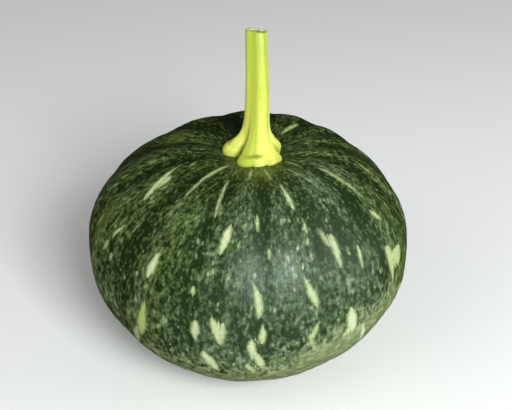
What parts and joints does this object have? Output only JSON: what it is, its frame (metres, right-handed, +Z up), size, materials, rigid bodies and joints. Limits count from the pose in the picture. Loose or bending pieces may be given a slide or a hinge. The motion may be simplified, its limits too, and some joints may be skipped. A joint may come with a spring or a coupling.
{
  "type": "kabocha squash",
  "caption": "Whole ribbed green squash with pale flecks and a tall ridged yellow-green stem, standing on its flattened blossom end.",
  "frame": {"origin": "middle of the flat spot under the fruit that it rests on", "axes": "+Z up along the fruit, from the blossom end to the stem; -Y is the side that faces the camera in the picture; +X is to the right in the picture"},
  "size_m": [0.1788, 0.1804, 0.1881],
  "materials": {
    "rind": "waxy satin rind, dark green with fine paler mottling and cream-green flecks",
    "stem": "fresh yellow-green stem, satin, with lengthwise fibres"
  },
  "bodies": {
    "root": {"fruit": "rind", "stem": "stem"}
  },
  "joints": []
}
